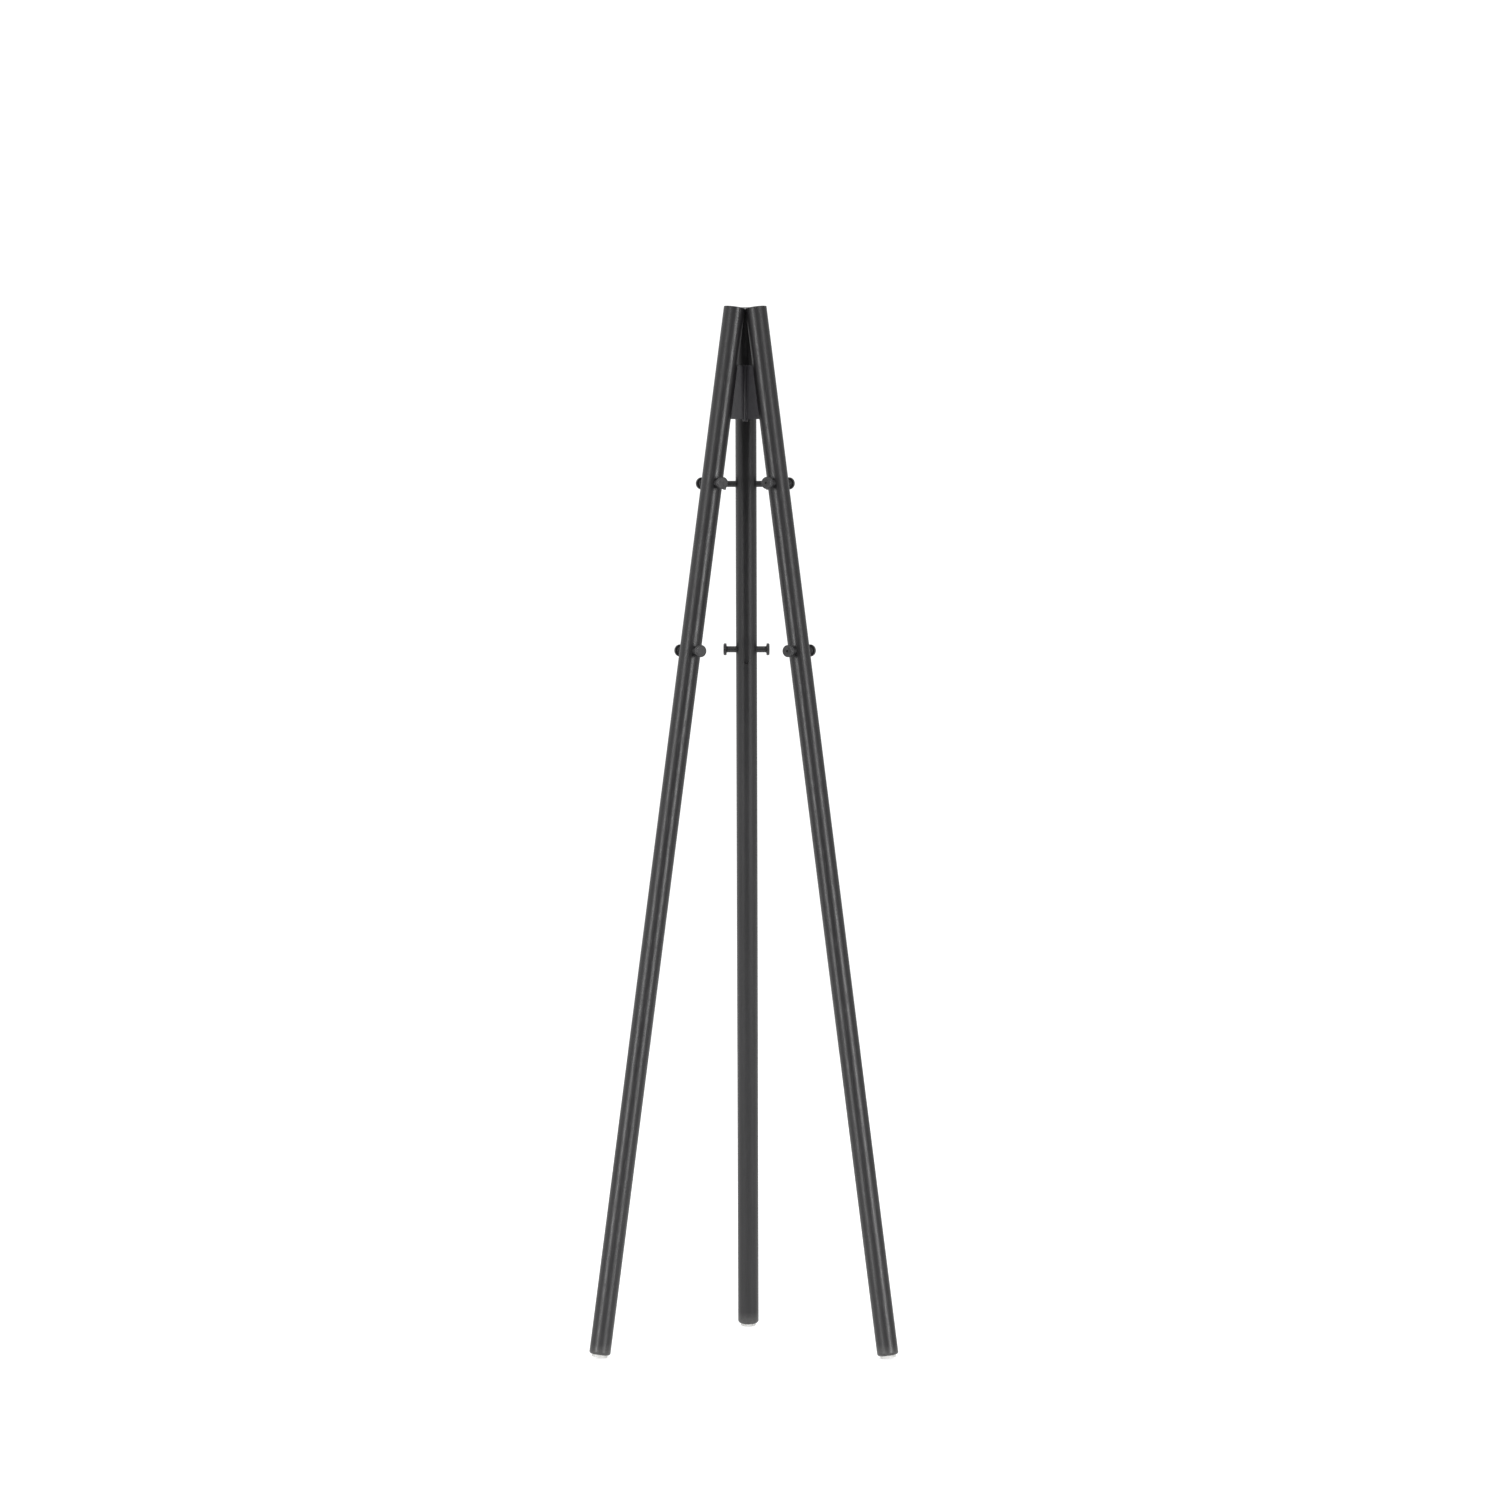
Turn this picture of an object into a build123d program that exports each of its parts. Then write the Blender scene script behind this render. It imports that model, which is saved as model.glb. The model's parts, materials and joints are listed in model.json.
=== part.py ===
from build123d import *
import os
from math import cos, radians, sin, tan

# Tripod coat stand, in millimetres, +Z up. The origin is on the stand's upright axis, on the floor.
# The rear leg is on the +Y side. Anticlockwise is as seen from above.

# Legs: round wooden poles that lean in, their square-cut tops almost touching
leg_azimuths = {"rear": 90, "front_left": 210, "front_right": 330}
leg_diameter = 36.5
leg_length = 1800.0
leg_tilt = 8.35  # degrees from upright
leg_top_offset = 21.3  # from the stand's axis to the middle of a leg's top end
leg_top_edge = 0.8
leg_foot_edge = 4.5

# Shallow round recess on each leg's inner side, below the lower peg
mark_hole_diameter = 8.0
mark_hole_depth = 3.0
mark_hole_drop = 19.0  # along the leg, from the lower peg's axis

# Pegs: two knobs on one level axis, drawn against the leg from both sides by a long screw
peg_drops = {"upper": 304.0, "lower": 593.0}  # along the leg, from its top end
peg_length = 80.0
peg_shaft_diameter = 11.0
peg_head_diameter = 21.0
peg_head_thickness = 5.5
peg_face_edge = 2.2
peg_back_edge = 1.2
peg_neck_fillet = 2.0
peg_seat = 10.0  # from the leg's axis to the flat end of each knob
peg_seat_chamfer = 0.4
socket_gap = 0.1  # round each shaft in its counterbore

# Peg screws: M6 by 70 countersunk, with a 4 mm hexagon socket. Threads are drawn plain.
screw_diameter = 5.9
screw_length = 70.0
screw_head_diameter = 12.0
screw_head_angle = 90.0
screw_head_recess = 0.2
screw_tip_chamfer = 0.8
screw_socket_flats = 4.0
screw_socket_depth = 2.6
tapped_diameter = 6.0
tapped_depth = 22.0
knob_bore_diameter = 6.4
leg_bore_diameter = 6.6

# Hub: three flat steel wings welded to an upright round core, each let into a leg
hub_drop = 145.0  # from the height of the legs' tops to the middle of the wings
hub_core_diameter = 9.0
hub_core_below = 3.5  # past the wings' lower ends; its top is level with theirs
hub_core_chamfer = 0.6
wing_height = 92.0
wing_thickness = 3.0
wing_let_in = 6.0  # depth of the wing's edge under the leg's surface
tab_height = 22.0
tab_reach = 9.0  # past the wing's edge, across the leg
tab_spacing = 50.0
glue_gap = 0.05  # round the wing in its groove and mortises

# Glides: plastic discs under the legs, each held by a nail with a sunken head
glide_diameter = 27.0
glide_thickness = 4.5
glide_edge = 1.2
glide_top_edge = 0.4
nail_diameter = 2.5
nail_head_diameter = 8.0
nail_head_thickness = 1.4
nail_head_recess = 0.8
nail_length = 22.0
nail_point = 3.0
nail_gap = 0.05

# Derived sizes
leg_radius = leg_diameter / 2
tilt = radians(leg_tilt)
# The rounded edge of each tilted glide touches the floor at its innermost point.
glide_lift = (glide_diameter / 2 - glide_edge) * sin(tilt) + glide_edge * (1 - cos(tilt))
leg_top_height = glide_lift + (glide_thickness + leg_length) * cos(tilt)
hub_height = leg_top_height - hub_drop
knob_reach = peg_length / 2

up = Vector(0, 0, 1)


def outward(side):
    """Level direction from the stand's axis towards a leg."""
    azimuth = radians(leg_azimuths[side])
    return Vector(cos(azimuth), sin(azimuth), 0)


def leg_plane(side, drop):
    """Plane across a leg at a distance down from its top end.

    Its x axis is level and points anticlockwise, y points in at the stand's axis, z points up the leg.
    """
    out = outward(side)
    along = up * cos(tilt) - out * sin(tilt)
    top = out * leg_top_offset + up * leg_top_height
    return Plane(origin=top - along * drop, x_dir=up.cross(out), z_dir=along)


def peg_plane(side, drop, way, reach):
    """Plane across a peg's axis, at a reach from the leg's axis, that faces along the peg.

    way is 1 for the anticlockwise end and -1 for the clockwise end.
    """
    across = leg_plane(side, drop)
    facing = across.x_dir * way
    return Plane(origin=across.origin + facing * reach, x_dir=across.z_dir, z_dir=facing)


def wing_plane(side, gap):
    """Plane of a wing's near face, or a gap clear of it: x points outward and y up."""
    out = outward(side)
    return Plane(origin=(0, 0, 0), x_dir=out, z_dir=out.cross(up)).offset(-wing_thickness / 2 - gap)


def inside_leg(depth, drop):
    """Point of a wing's plane, at a depth under a leg's inner surface and a distance down the leg."""
    reach = leg_radius - depth
    x = leg_top_offset + drop * sin(tilt) - reach * cos(tilt)
    y = leg_top_height - drop * cos(tilt) - reach * sin(tilt)
    return x, y


def wing_edge_at(height):
    """Distance from the stand's axis to a wing's outer edge, at a height."""
    x, y = inside_leg(wing_let_in, 0)
    return x + (y - height) * tan(tilt)


def draw_wing():
    """Outline of a wing with its two tenon tabs, in the open sketch."""
    low = hub_height - wing_height / 2
    high = hub_height + wing_height / 2
    Polygon((0, low), (wing_edge_at(low), low), (wing_edge_at(high), high), (0, high), align=None)
    for step in (-0.5, 0.5):
        with Locations(inside_leg(wing_let_in, hub_drop / cos(tilt) + step * tab_spacing)):
            Rectangle(2 * tab_reach, tab_height, rotation=leg_tilt)


def save(piece, label):
    piece.part.label = label
    export_step(piece.part, f"parts/{label}.step")


def make_leg(side):
    foot = leg_plane(side, leg_length)
    mark = leg_plane(side, peg_drops["lower"] + mark_hole_drop)
    mark_mouth = Plane(origin=mark.origin + mark.y_dir * leg_radius, x_dir=mark.x_dir, z_dir=mark.y_dir)
    with BuildPart() as leg:
        with BuildSketch(foot):
            Circle(leg_radius)
        extrude(amount=leg_length)
        ends = leg.edges().filter_by(GeomType.CIRCLE).sort_by(Axis.Z)
        fillet(ends[-1], leg_top_edge)
        fillet(ends[0], leg_foot_edge)
        for drop in peg_drops.values():
            for way in (1, -1):
                with Locations(peg_plane(side, drop, way, leg_radius)):
                    CounterBoreHole(
                        leg_bore_diameter / 2,
                        peg_shaft_diameter / 2 + socket_gap,
                        leg_radius - peg_seat,
                        leg_diameter,
                    )
        with Locations(mark_mouth):
            Hole(mark_hole_diameter / 2, mark_hole_depth)
        with Locations(-foot):
            Hole(nail_diameter / 2 + nail_gap, nail_length)
        with BuildSketch(wing_plane(side, glue_gap)):
            draw_wing()
            offset(amount=glue_gap, kind=Kind.INTERSECTION)
        extrude(amount=wing_thickness + 2 * glue_gap, mode=Mode.SUBTRACT)
    save(leg, f"leg_{side}")


def make_hub_core():
    with BuildPart() as core:
        with BuildSketch(Plane.XY.offset(hub_height - wing_height / 2 - hub_core_below)):
            Circle(hub_core_diameter / 2)
        extrude(amount=wing_height + hub_core_below)
        chamfer(core.edges().filter_by(GeomType.CIRCLE), hub_core_chamfer)
    save(core, "hub_core")


def make_hub_wing(side):
    with BuildPart() as wing:
        with BuildSketch(wing_plane(side, 0)):
            draw_wing()
        extrude(amount=wing_thickness)
        with Locations((0, 0, hub_height)):
            Cylinder(hub_core_diameter / 2, 2 * wing_height, mode=Mode.SUBTRACT)
    save(wing, f"hub_wing_{side}")


def make_knob(side, level, way):
    """One end of a peg: blind and tapped at the anticlockwise end, bored for the screw at the other."""
    drop = peg_drops[level]
    seat = peg_plane(side, drop, way, peg_seat)
    face = peg_plane(side, drop, way, knob_reach)
    with BuildPart() as knob:
        with BuildSketch(seat):
            Circle(peg_shaft_diameter / 2)
        extrude(amount=knob_reach - peg_seat)
        with BuildSketch(face):
            Circle(peg_head_diameter / 2)
        extrude(amount=-peg_head_thickness)
        rounds = knob.edges().filter_by(GeomType.CIRCLE)
        rims = rounds.filter_by(lambda edge: edge.radius > peg_shaft_diameter / 2)
        rims = rims.sort_by_distance(seat.origin)
        shaft_ends = rounds.filter_by(lambda edge: edge.radius <= peg_shaft_diameter / 2)
        shaft_ends = shaft_ends.sort_by_distance(seat.origin)
        fillet(rims[-1], peg_face_edge)
        fillet(rims[0], peg_back_edge)
        fillet(shaft_ends[-1], peg_neck_fillet)
        chamfer(shaft_ends[0], peg_seat_chamfer)
        if way > 0:
            with Locations(-seat):
                Hole(tapped_diameter / 2, tapped_depth)
        else:
            sink_radius = screw_head_diameter / 2 + screw_head_recess
            with Locations(face):
                CounterSinkHole(
                    knob_bore_diameter / 2,
                    sink_radius,
                    knob_reach,
                    counter_sink_angle=screw_head_angle,
                )
    kind = "blind" if way > 0 else "socket"
    save(knob, f"peg_{kind}_{level}_{side}")


def make_screw(side, level):
    """Countersunk screw along a peg, its head in the clockwise knob."""
    top_reach = knob_reach - screw_head_recess
    top = peg_plane(side, peg_drops[level], -1, top_reach)
    head_radius = screw_head_diameter / 2
    shank_radius = screw_diameter / 2
    head_depth = head_radius - shank_radius
    tip_radius = shank_radius - screw_tip_chamfer
    section = Plane(origin=top.origin, x_dir=top.x_dir, z_dir=top.y_dir * -1)
    with BuildPart() as screw:
        with BuildSketch(section):
            with BuildLine():
                Polyline(
                    (0, 0),
                    (head_radius, 0),
                    (shank_radius, -head_depth),
                    (shank_radius, screw_tip_chamfer - screw_length),
                    (tip_radius, -screw_length),
                    (0, -screw_length),
                    close=True,
                )
            make_face()
        revolve(axis=Axis(top.origin, top.z_dir))
        with BuildSketch(top):
            RegularPolygon(screw_socket_flats / 2, 6, major_radius=False)
        extrude(amount=-screw_socket_depth, mode=Mode.SUBTRACT)
    save(screw, f"peg_screw_{level}_{side}")


def make_glide(side):
    foot = leg_plane(side, leg_length)
    underside = leg_plane(side, leg_length + glide_thickness)
    with BuildPart() as glide:
        with BuildSketch(underside):
            Circle(glide_diameter / 2)
        extrude(amount=glide_thickness)
        rims = glide.edges().filter_by(GeomType.CIRCLE).sort_by_distance(foot.origin)
        fillet(rims[0], glide_top_edge)
        fillet(rims[-1], glide_edge)
        with Locations(-underside):
            CounterBoreHole(
                nail_diameter / 2 + nail_gap,
                nail_head_diameter / 2 + nail_gap,
                nail_head_recess + nail_head_thickness,
                glide_thickness,
            )
    save(glide, f"glide_{side}")


def make_glide_nail(side):
    underside = leg_plane(side, leg_length + glide_thickness - nail_head_recess)
    section = Plane(origin=underside.origin, x_dir=underside.x_dir, z_dir=underside.y_dir * -1)
    head_radius = nail_head_diameter / 2
    shank_radius = nail_diameter / 2
    with BuildPart() as nail:
        with BuildSketch(section):
            with BuildLine():
                Polyline(
                    (0, 0),
                    (head_radius, 0),
                    (head_radius, nail_head_thickness),
                    (shank_radius, nail_head_thickness),
                    (shank_radius, nail_length - nail_point),
                    (0, nail_length),
                    close=True,
                )
            make_face()
        revolve(axis=Axis(underside.origin, underside.z_dir))
    save(nail, f"glide_nail_{side}")


os.makedirs("parts", exist_ok=True)
make_hub_core()
for side in leg_azimuths:
    make_leg(side)
    make_hub_wing(side)
    make_glide(side)
    make_glide_nail(side)
    for level in peg_drops:
        make_knob(side, level, 1)
        make_knob(side, level, -1)
        make_screw(side, level)
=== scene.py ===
"""Looks of the tripod coat stand: black-stained wooden legs, black metal hub and pegs, pale glides.

Everything is in metres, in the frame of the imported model: the stand's axis is Z and the rear leg is on the
+Y side.
"""

import json
from math import cos, pi, radians, sin

import bpy
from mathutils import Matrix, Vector

# Camera: level with an adult's eyes, well back, with a long lens
CAMERA_BACK = 10.05  # from the stand's axis
CAMERA_HEIGHT = 1.363
CAMERA_ASIDE = 0.008  # to the right of the stand's axis
CAMERA_TURN = 1.045  # degrees round the stand from the -Y side
CAMERA_DIP = 1.902  # degrees below the horizon
CAMERA_LENS = 140.6  # mm
CAMERA_SENSOR = 36.0  # mm
CAMERA_REACH = 60.0  # to the farthest thing that it shows

# Room: pale walls, dimmer behind the camera, under a brighter ceiling. Levels are against white paper.
WALL_LIGHT = 0.95
CAMERA_WALL_LIGHT = 0.74
CEILING_LIGHT = 1.55
BACKDROP_LIGHT = 1.15  # seen by the camera only
DARK_FLOOR_LIGHT = 0.04  # past the front edge of the floor sheet
PHOTOGRAPHER_SHARE = 0.70  # of the wall's light, straight behind the camera
LEFT_SHARE = 1.18
RIGHT_SHARE = 0.70

# Where the room changes, by the direction that light comes from: back is 1 behind the stand and -1 towards
# the camera, height is 1 straight up
BRIGHT_WALL_BACK = (-0.75, -0.10)
BRIGHT_WALL_HEIGHT = (0.30, 0.80)
PHOTOGRAPHER_BACK = (-1.00, -0.93)
DARK_FLOOR_BACK = (-0.60, -0.10)
DARK_FLOOR_HEIGHT = (-0.04, 0.08)
CEILING_HEIGHT = (0.20, 0.90)

# Floor: a pale translucent sheet
FLOOR_HALF_WIDTH = 4.5
FLOOR_IN_FRONT = 2.8
FLOOR_BEHIND = 6.0
FLOOR_THICKNESS = 0.02
FLOOR_PALE = (0.50, 0.50, 0.50, 1.0)
FLOOR_PALER = (0.54, 0.54, 0.54, 1.0)
FLOOR_GLOW = 0.60  # light that comes through it
FLOOR_SPECKLES = 30  # per metre
FLOOR_RELIEF = 0.0001
FLOOR_IOR = 1.3
FLOOR_SPECKLE_SPAN = (0.30, 0.70)
FLOOR_ROUGHNESS = (0.85, 0.95)

# A tall softbox on each side of the camera
SOFTBOX_TURN = 41.5  # degrees round the stand from the camera
SOFTBOX_BACK = 10.0
SOFTBOX_WIDE = 2.3
SOFTBOX_HIGH = 3.0
SOFTBOX_MIDDLE = 1.50
SOFTBOX_RIGHT_LIGHT = 22.0  # against white paper
SOFTBOX_LEFT_LIGHT = 18.0

# Finishes. Scales are in features per metre, reliefs in metres. A span is the stretch of a noise, which runs
# from 0 to 1, that a colour or a gloss follows.

# Stained wood, its grain drawn out along the leg
WOOD_IOR = 1.47
FIBRE_SCALE = 1400
FIBRE_STRETCH = (1, 1, 40)
FIBRE_RELIEF = 0.00003
PORE_SCALE = 620
PORE_STRETCH = (1, 1, 14)
FLECK_SPAN = (0.60, 0.74)  # the widest pores
FLECK_RELIEF = -0.00009
FIGURE_SCALE = 70
FIGURE_STRETCH = (1, 1, 9)
STREAK_SPAN = (0.30, 0.72)
STREAK_SHARE = 0.55  # of the light stain, at most
CLOUD_SPAN = (0.35, 0.65)
CLOUD_SHARE = 0.45
LACQUER_SPAN = (0.30, 0.75)
LACQUER_ROUGHNESS = (0.34, 0.44)
STAIN_DARK = (0.0030, 0.0028, 0.0034, 1.0)
STAIN_LIGHT = (0.0125, 0.0119, 0.0130, 1.0)
# Painted reflection: a lighter colour at the foot of each leg stands in for light from the bright floor
PAINTED_FLOOR_GLOW_COLOUR = (0.060, 0.059, 0.058, 1.0)
PAINTED_GLOW_HEIGHTS = (0.006, 0.026)  # the painted glow of the bright floor on a leg's foot fades out between these
PAINTED_GLOW_SCALE = 240
PAINTED_GLOW_SPAN = (0.30, 0.60)
PAINTED_GLOW_SHARES = (0.5, 1.0)

# Coated metal, rubbed in patches
RUB_SCALE = 160
RUB_SPAN = (0.42, 0.75)
RUB_GLOSS_SPAN = (0.35, 0.70)
RUB_ROUGHNESS = (-0.02, 0.03)  # added to the coat's own
HUB_COAT = {"roughness": 0.30, "ior": 1.38, "grain": 2600, "relief": 0.000003}
PEG_COAT = {"roughness": 0.29, "ior": 1.38, "grain": 2600, "relief": 0.000002}
SCREW_COAT = {"roughness": 0.36, "ior": 1.42, "grain": 4200, "relief": 0.000003}
STEEL_BLACK = (0.0185, 0.0176, 0.0210, 1.0)
STEEL_WORN = (0.0230, 0.0220, 0.0255, 1.0)
PEG_BLACK = (0.0250, 0.0246, 0.0260, 1.0)
PEG_WORN = (0.0340, 0.0336, 0.0350, 1.0)
SCREW_BLACK = (0.0100, 0.0099, 0.0104, 1.0)
SCREW_WORN = (0.0300, 0.0294, 0.0288, 1.0)

# Moulded plastic with dust on it
GLIDE_GRAIN = 1500
GLIDE_GRAIN_SPAN = (0.30, 0.70)
GLIDE_ROUGHNESS = (0.48, 0.60)
GLIDE_RELIEF = 0.00001
DUST_SCALE = 240
DUST_SPAN = (0.45, 0.75)
GLIDE_PALE = (0.52, 0.52, 0.51, 1.0)
GLIDE_DUSTY = (0.42, 0.415, 0.40, 1.0)

# Drawn steel, scratched across and tarnished
SCRATCH_SCALE = 3500
SCRATCH_STRETCH = (1, 14, 1)
SCRATCH_SPAN = (0.30, 0.70)
SCRATCH_RELIEF = 0.000008
NAIL_ROUGHNESS = (0.24, 0.40)
TARNISH_SCALE = 500
TARNISH_SPAN = (0.40, 0.70)
NAIL_BRIGHT = (0.58, 0.57, 0.55, 1.0)
NAIL_DULL = (0.40, 0.39, 0.375, 1.0)


class Surface:
    """A node material, with short ways to make and join its nodes."""

    # Places of the colour sockets on a mix node: they share their names with its other sockets.
    MIX_SHARE, MIX_FIRST, MIX_SECOND = 0, 6, 7
    MIX_RESULT = 2

    def __init__(self, name, metallic=0.0, ior=1.5):
        self.material = bpy.data.materials.new(name)
        self.material.use_nodes = True
        self.tree = self.material.node_tree
        self.shader = self.tree.nodes["Principled BSDF"]
        self.shader.inputs["Metallic"].default_value = metallic
        self.shader.inputs["IOR"].default_value = ior

    def node(self, kind, **inputs):
        made = self.tree.nodes.new(kind)
        for key, value in inputs.items():
            self.feed(made.inputs[key.replace("_", " ")], value)
        return made

    def feed(self, socket, value):
        if isinstance(value, bpy.types.NodeSocket):
            self.tree.links.new(value, socket)
        else:
            socket.default_value = value

    def place(self, turn=None, stretch=(1, 1, 1)):
        """Object coordinates in a piece's own axes, drawn out by stretch."""
        here = self.node("ShaderNodeTexCoord").outputs["Object"]
        mapping = self.node("ShaderNodeMapping", Vector=here, Scale=stretch)
        mapping.vector_type = "TEXTURE"
        if turn is not None:
            mapping.inputs["Rotation"].default_value = turn
        return mapping.outputs["Vector"]

    def noise(self, where, scale, detail=2.0, roughness=0.5):
        return self.node(
            "ShaderNodeTexNoise", Vector=where, Scale=scale, Detail=detail, Roughness=roughness
        ).outputs["Fac"]

    def combine(self, operation, first, second):
        """The two values put together, kept within 0 to 1."""
        made = self.tree.nodes.new("ShaderNodeMath")
        made.operation = operation
        made.use_clamp = True
        self.feed(made.inputs[0], first)
        self.feed(made.inputs[1], second)
        return made.outputs[0]

    def spread(self, value, span, onto=(0.0, 1.0)):
        """Maps one span of a value onto another."""
        mapped = self.node("ShaderNodeMapRange", Value=value)
        for key, bound in zip(("From Min", "From Max", "To Min", "To Max"), (*span, *onto)):
            mapped.inputs[key].default_value = bound
        return mapped.outputs["Result"]

    def blend(self, share, first, second):
        """Colour from first to second as share goes from 0 to 1."""
        mix = self.tree.nodes.new("ShaderNodeMix")
        mix.data_type = "RGBA"
        self.feed(mix.inputs[self.MIX_SHARE], share)
        self.feed(mix.inputs[self.MIX_FIRST], first)
        self.feed(mix.inputs[self.MIX_SECOND], second)
        return mix.outputs[self.MIX_RESULT]

    def bump(self, height, depth, below=None):
        """Relief of the given depth in metres, on top of another relief."""
        relief = self.node("ShaderNodeBump", Height=height, Strength=1.0, Distance=depth)
        if below is not None:
            self.feed(relief.inputs["Normal"], below)
        return relief.outputs["Normal"]

    def paint(self, colour, roughness, normal):
        self.feed(self.shader.inputs["Base Color"], colour)
        self.feed(self.shader.inputs["Roughness"], roughness)
        self.feed(self.shader.inputs["Normal"], normal)


def stained_wood(name, along):
    """Open-grained wood under a thin black stain and a satin lacquer, its grain running along the leg."""
    wood = Surface(name, ior=WOOD_IOR)
    turn = along.to_track_quat("Z", "Y").to_euler()
    fibres = wood.noise(wood.place(turn, FIBRE_STRETCH), FIBRE_SCALE, detail=3)
    pores = wood.noise(wood.place(turn, PORE_STRETCH), PORE_SCALE, detail=2)
    figure = wood.noise(wood.place(turn, FIGURE_STRETCH), FIGURE_SCALE, detail=3, roughness=0.6)
    streaks = wood.spread(fibres, STREAK_SPAN, (0, STREAK_SHARE))
    clouds = wood.spread(figure, CLOUD_SPAN, (0, CLOUD_SHARE))
    stain = wood.blend(wood.combine("ADD", streaks, clouds), STAIN_DARK, STAIN_LIGHT)
    height = wood.node("ShaderNodeSeparateXYZ", Vector=wood.place()).outputs["Z"]
    # Painted floor glow: the stain is lighter near the floor, in patches, in place of light reflected from
    # the bright floor
    near_floor = wood.spread(height, PAINTED_GLOW_HEIGHTS, (1, 0))
    glow_patches = wood.noise(wood.place(), PAINTED_GLOW_SCALE, detail=4, roughness=0.6)
    painted_floor_glow = wood.combine("MULTIPLY", near_floor, wood.spread(glow_patches, PAINTED_GLOW_SPAN, PAINTED_GLOW_SHARES))
    grain = wood.bump(fibres, FIBRE_RELIEF)
    wood.paint(
        wood.blend(painted_floor_glow, stain, PAINTED_FLOOR_GLOW_COLOUR),
        wood.spread(pores, LACQUER_SPAN, LACQUER_ROUGHNESS),
        wood.bump(wood.spread(pores, FLECK_SPAN), FLECK_RELIEF, below=grain),
    )
    return wood.material


def coated_metal(name, colour, worn, roughness, ior, grain, relief):
    """Black coating on steel, with a fine orange-peel surface and slight rubbing."""
    metal = Surface(name, ior=ior)
    peel = metal.noise(metal.place(), grain, detail=2)
    rubs = metal.noise(metal.place(), RUB_SCALE, detail=4, roughness=0.65)
    smoothest, roughest = (roughness + change for change in RUB_ROUGHNESS)
    metal.paint(
        metal.blend(metal.spread(rubs, RUB_SPAN), colour, worn),
        metal.spread(rubs, RUB_GLOSS_SPAN, (smoothest, roughest)),
        metal.bump(peel, relief),
    )
    return metal.material


def glide_plastic():
    """Pale moulded plastic, a little dusty."""
    plastic = Surface("glide_plastic_look")
    texture = plastic.noise(plastic.place(), GLIDE_GRAIN, detail=2)
    dust = plastic.noise(plastic.place(), DUST_SCALE, detail=4, roughness=0.6)
    plastic.paint(
        plastic.blend(plastic.spread(dust, DUST_SPAN), GLIDE_PALE, GLIDE_DUSTY),
        plastic.spread(texture, GLIDE_GRAIN_SPAN, GLIDE_ROUGHNESS),
        plastic.bump(texture, GLIDE_RELIEF),
    )
    return plastic.material


def nail_steel():
    """Bright drawn steel with fine scratches."""
    steel = Surface("nail_steel_look", metallic=1.0)
    scratches = steel.noise(steel.place(stretch=SCRATCH_STRETCH), SCRATCH_SCALE, detail=2)
    tarnish = steel.noise(steel.place(), TARNISH_SCALE, detail=3)
    steel.paint(
        steel.blend(steel.spread(tarnish, TARNISH_SPAN), NAIL_BRIGHT, NAIL_DULL),
        steel.spread(scratches, SCRATCH_SPAN, NAIL_ROUGHNESS),
        steel.bump(scratches, SCRATCH_RELIEF),
    )
    return steel.material


def leg_direction(record, side):
    """Unit vector up a leg: its foot mount points the other way."""
    mounts = {mount["name"]: mount for mount in record["mounts"]}
    return -Vector(mounts[f"foot_{side}"]["axis"]).normalized()


def dress(frame):
    """Gives every CAD node its finish."""
    hub = coated_metal("hub_steel_look", STEEL_BLACK, STEEL_WORN, **HUB_COAT)
    peg = coated_metal("peg_metal_look", PEG_BLACK, PEG_WORN, **PEG_COAT)
    screw = coated_metal("screw_steel_look", SCREW_BLACK, SCREW_WORN, **SCREW_COAT)
    glide = glide_plastic()
    nail = nail_steel()
    by_start = {
        "hub_": hub,
        "peg_screw_": screw,
        "peg_": peg,
        "glide_nail_": nail,
        "glide_": glide,
    }
    for name, node in frame["nodes"].items():
        if name.startswith("leg_"):
            side = name.removeprefix("leg_")
            look = stained_wood(f"stained_wood_look_{side}", leg_direction(frame["record"], side))
        else:
            look = next(made for start, made in by_start.items() if name.startswith(start))
        node.data.materials.clear()
        node.data.materials.append(look)


def round_the_stand(turn, back, height, aside=0.0):
    """A place round the stand: turn is in degrees from the -Y side, anticlockwise from above."""
    angle = radians(turn)
    right = Vector((cos(angle), sin(angle), 0))
    away = Vector((sin(angle), -cos(angle), 0))
    return right * aside + away * back + Vector((0, 0, height))


def add_camera():
    data = bpy.data.cameras.new("camera")
    data.lens = CAMERA_LENS
    data.sensor_width = CAMERA_SENSOR
    data.clip_end = CAMERA_REACH
    camera = bpy.data.objects.new("camera", data)
    camera.location = round_the_stand(CAMERA_TURN, CAMERA_BACK, CAMERA_HEIGHT, CAMERA_ASIDE)
    camera.rotation_euler = (radians(90 - CAMERA_DIP), 0, radians(CAMERA_TURN))
    bpy.context.scene.collection.objects.link(camera)
    bpy.context.scene.camera = camera


def add_softbox(name, turn, light):
    data = bpy.data.lights.new(name, "AREA")
    data.shape = "RECTANGLE"
    data.size = SOFTBOX_WIDE
    data.size_y = SOFTBOX_HIGH
    data.energy = light * pi * SOFTBOX_WIDE * SOFTBOX_HIGH
    softbox = bpy.data.objects.new(name, data)
    softbox.location = round_the_stand(CAMERA_TURN + turn, SOFTBOX_BACK, SOFTBOX_MIDDLE)
    softbox.rotation_euler = (radians(90), 0, radians(CAMERA_TURN + turn))
    softbox.visible_camera = False
    bpy.context.scene.collection.objects.link(softbox)


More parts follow.
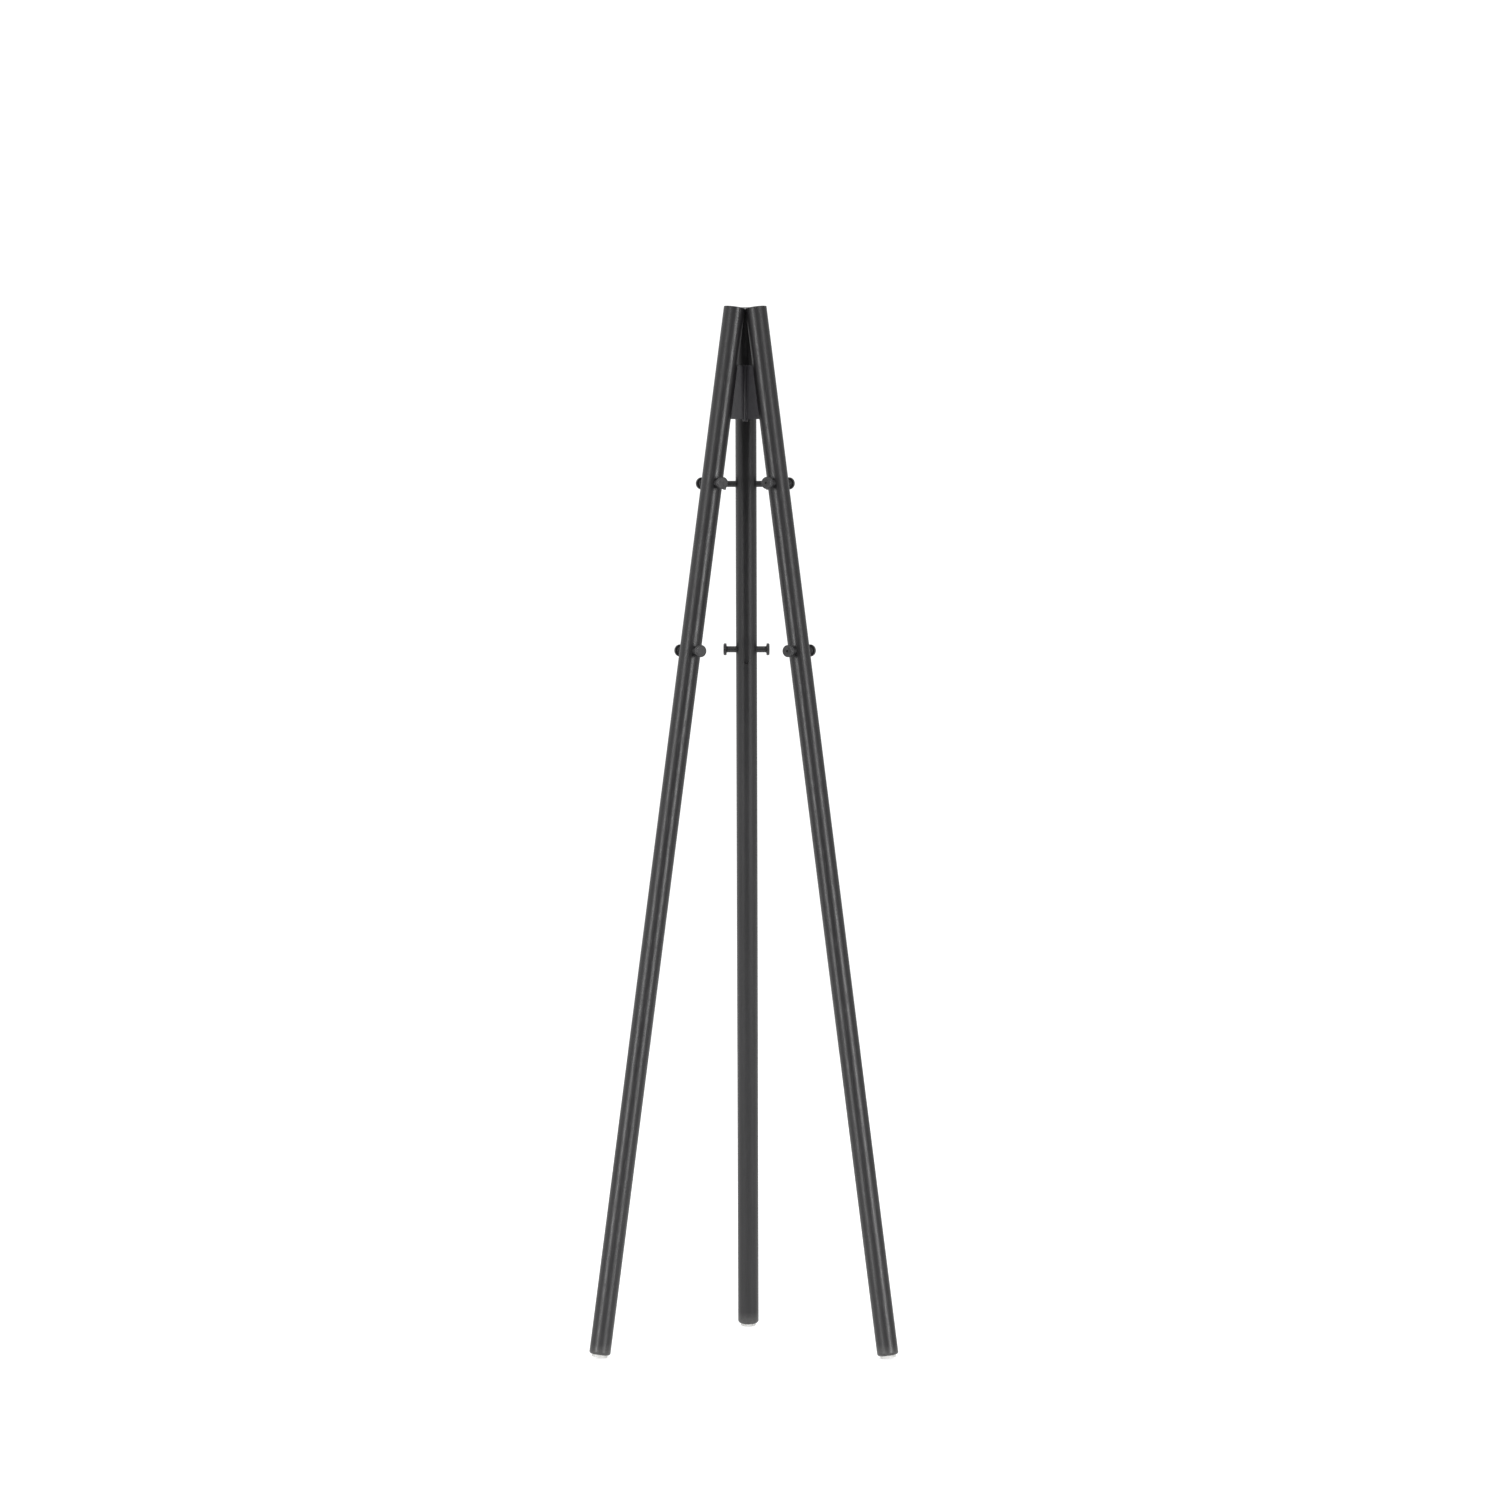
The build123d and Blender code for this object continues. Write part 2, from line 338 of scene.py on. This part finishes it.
def add_room():
    """Light from all round. The camera itself sees only a white backdrop."""
    world = bpy.data.worlds.new("studio")
    bpy.context.scene.world = world
    world.use_nodes = True
    tree = world.node_tree

    def ramp(value, span, to_low=0.0, to_high=1.0):
        mapped = tree.nodes.new("ShaderNodeMapRange")
        tree.links.new(value, mapped.inputs["Value"])
        mapped.inputs["From Min"].default_value = span[0]
        mapped.inputs["From Max"].default_value = span[1]
        mapped.inputs["To Min"].default_value = to_low
        mapped.inputs["To Max"].default_value = to_high
        return mapped.outputs["Result"]

    def combine(operation, first, second):
        made = tree.nodes.new("ShaderNodeMath")
        made.operation = operation
        tree.links.new(first, made.inputs[0])
        tree.links.new(second, made.inputs[1])
        return made.outputs[0]

    def background(strength):
        made = tree.nodes.new("ShaderNodeBackground")
        made.inputs["Color"].default_value = (1, 1, 1, 1)
        made.inputs["Strength"].default_value = strength
        return made

    direction = tree.nodes.new("ShaderNodeSeparateXYZ")
    tree.links.new(tree.nodes.new("ShaderNodeTexCoord").outputs["Generated"], direction.inputs[0])
    aside, back, height = direction.outputs

    bright_wall = combine("MAXIMUM", ramp(back, BRIGHT_WALL_BACK), ramp(height, BRIGHT_WALL_HEIGHT))
    level = ramp(bright_wall, (0, 1), CAMERA_WALL_LIGHT, WALL_LIGHT)
    level = combine("MULTIPLY", level, ramp(back, PHOTOGRAPHER_BACK, PHOTOGRAPHER_SHARE, 1))
    level = combine("MULTIPLY", level, ramp(aside, (-1, 1), LEFT_SHARE, RIGHT_SHARE))
    off_dark_floor = combine("MAXIMUM", ramp(back, DARK_FLOOR_BACK), ramp(height, DARK_FLOOR_HEIGHT))
    level = combine("MULTIPLY", level, ramp(off_dark_floor, (0, 1), DARK_FLOOR_LIGHT, 1))
    level = combine("ADD", level, ramp(height, CEILING_HEIGHT, 0, CEILING_LIGHT - WALL_LIGHT))

    room = background(1.0)
    tree.links.new(level, room.inputs["Strength"])
    backdrop = background(BACKDROP_LIGHT)
    either = tree.nodes.new("ShaderNodeMixShader")
    tree.links.new(tree.nodes.new("ShaderNodeLightPath").outputs["Is Camera Ray"], either.inputs[0])
    tree.links.new(room.outputs[0], either.inputs[1])
    tree.links.new(backdrop.outputs[0], either.inputs[2])
    tree.links.new(either.outputs[0], tree.nodes["World Output"].inputs["Surface"])


def add_floor():
    sheet = Surface("floor_sheet", ior=FLOOR_IOR)
    speckle = sheet.noise(sheet.place(), FLOOR_SPECKLES, detail=3)
    sheet.paint(
        sheet.blend(speckle, FLOOR_PALE, FLOOR_PALER),
        sheet.spread(speckle, FLOOR_SPECKLE_SPAN, FLOOR_ROUGHNESS),
        sheet.bump(speckle, FLOOR_RELIEF),
    )
    sheet.shader.inputs["Emission Color"].default_value = (1, 1, 1, 1)
    sheet.shader.inputs["Emission Strength"].default_value = FLOOR_GLOW
    corners = [
        (x, y, z)
        for z in (-FLOOR_THICKNESS, 0)
        for y in (-FLOOR_IN_FRONT, FLOOR_BEHIND)
        for x in (-FLOOR_HALF_WIDTH, FLOOR_HALF_WIDTH)
    ]
    # bottom, top, front, back, left, right
    faces = [(0, 2, 3, 1), (4, 5, 7, 6), (0, 1, 5, 4), (2, 6, 7, 3), (0, 4, 6, 2), (1, 3, 7, 5)]
    mesh = bpy.data.meshes.new("floor")
    mesh.from_pydata(corners, [], faces)
    mesh.materials.append(sheet.material)
    floor = bpy.data.objects.new("floor", mesh)
    bpy.context.scene.collection.objects.link(floor)


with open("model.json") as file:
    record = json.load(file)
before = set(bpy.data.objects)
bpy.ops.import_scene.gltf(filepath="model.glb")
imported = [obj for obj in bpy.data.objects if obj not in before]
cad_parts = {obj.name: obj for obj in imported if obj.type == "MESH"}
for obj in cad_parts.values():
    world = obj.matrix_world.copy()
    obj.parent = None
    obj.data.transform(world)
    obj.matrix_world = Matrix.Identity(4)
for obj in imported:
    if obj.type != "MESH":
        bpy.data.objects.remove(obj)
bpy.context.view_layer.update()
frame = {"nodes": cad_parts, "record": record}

add_camera()
dress(frame)
add_room()
add_floor()
add_softbox("softbox_right", SOFTBOX_TURN, SOFTBOX_RIGHT_LIGHT)
add_softbox("softbox_left", -SOFTBOX_TURN, SOFTBOX_LEFT_LIGHT)
bpy.context.scene.view_settings.view_transform = "Standard"
